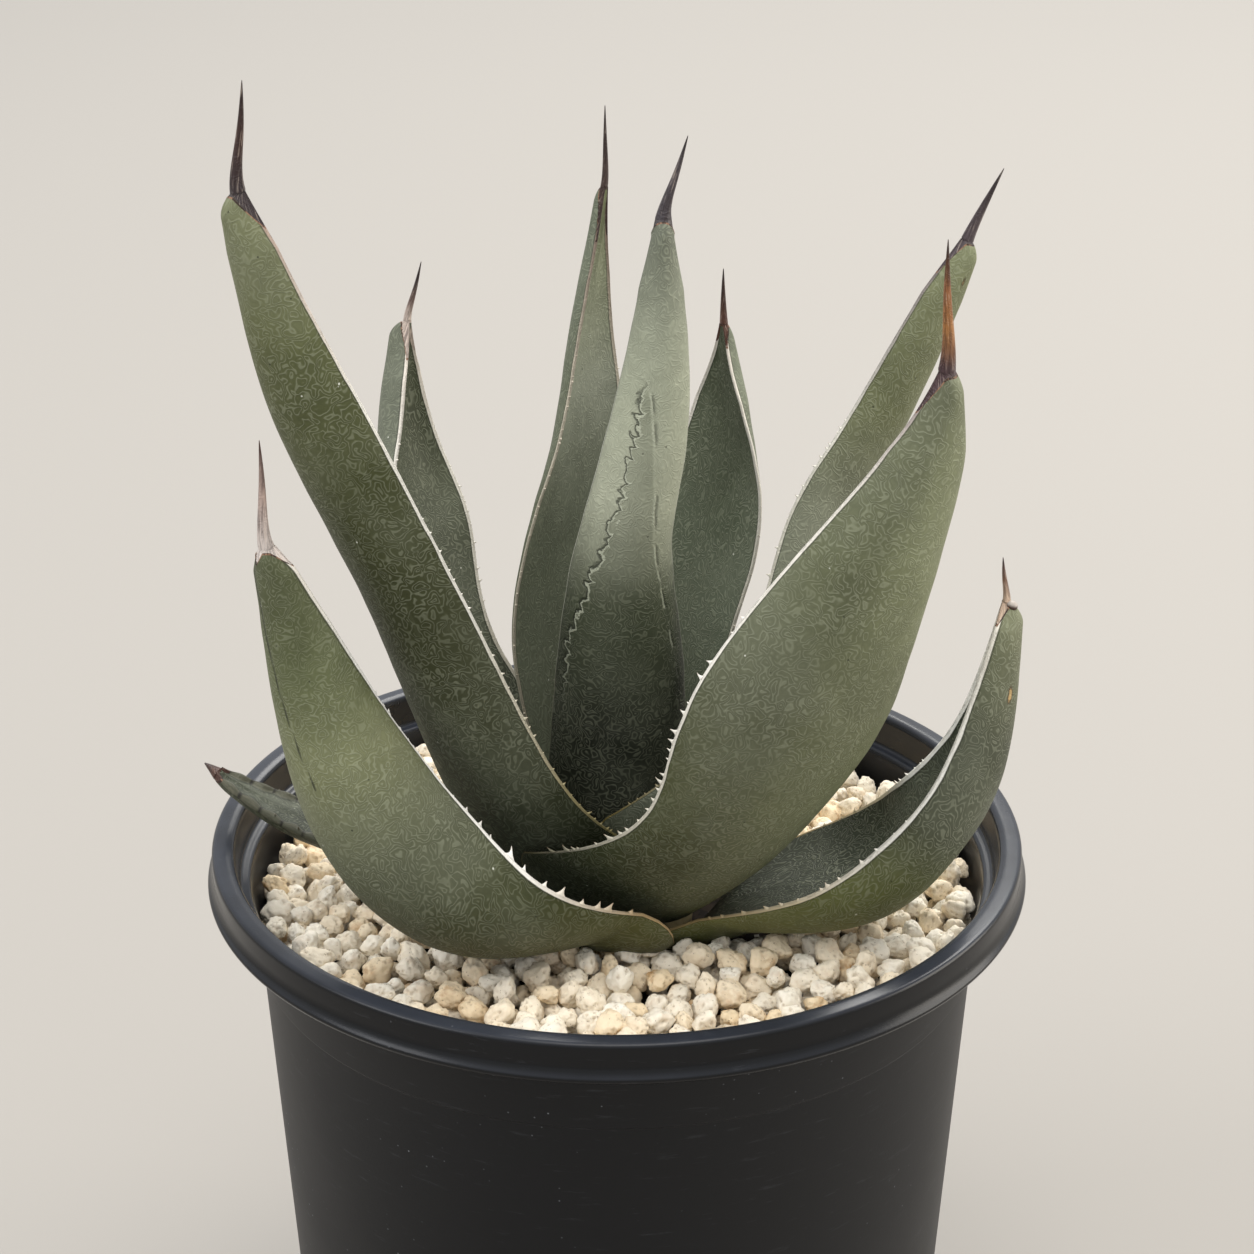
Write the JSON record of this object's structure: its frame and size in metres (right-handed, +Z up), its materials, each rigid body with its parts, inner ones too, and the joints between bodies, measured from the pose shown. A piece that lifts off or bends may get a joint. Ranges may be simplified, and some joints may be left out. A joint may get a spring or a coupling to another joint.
{
  "type": "potted agave",
  "caption": "Agave rosette of thick channelled leaves with toothed margins and terminal spines, in a round tapered black nursery pot topped with pale pumice gravel.",
  "frame": {"origin": "centre of the pot's underside, on the pot's axis, where it rests on the ground", "axes": "+Z up along the pot's axis; -Y towards the front, the side with the widest upright leaf to the right of the middle; +X to the right seen from the front"},
  "size_m": [0.2348, 0.2334, 0.4401],
  "materials": {
    "pot_plastic": "satin",
    "potting_mix": "matte",
    "pumice": "matte",
    "stem_tissue": "matte",
    "leaf": "matte"
  },
  "bodies": {
    "root": {"pot": "pot_plastic", "potting_mix": "potting_mix", "gravel_bed": "pumice", "stem_and_roots": "stem_tissue", "leaf_heart": "leaf", "leaf_back_centre": "leaf", "leaf_front_centre": "leaf", "leaf_back_right": "leaf", "leaf_back_left": "leaf", "leaf_back_low": "leaf", "leaf_right_tall": "leaf", "leaf_left_tall": "leaf", "leaf_front_right": "leaf", "leaf_left_low": "leaf", "leaf_right_low": "leaf", "leaf_left_stub": "leaf"}
  },
  "joints": []
}
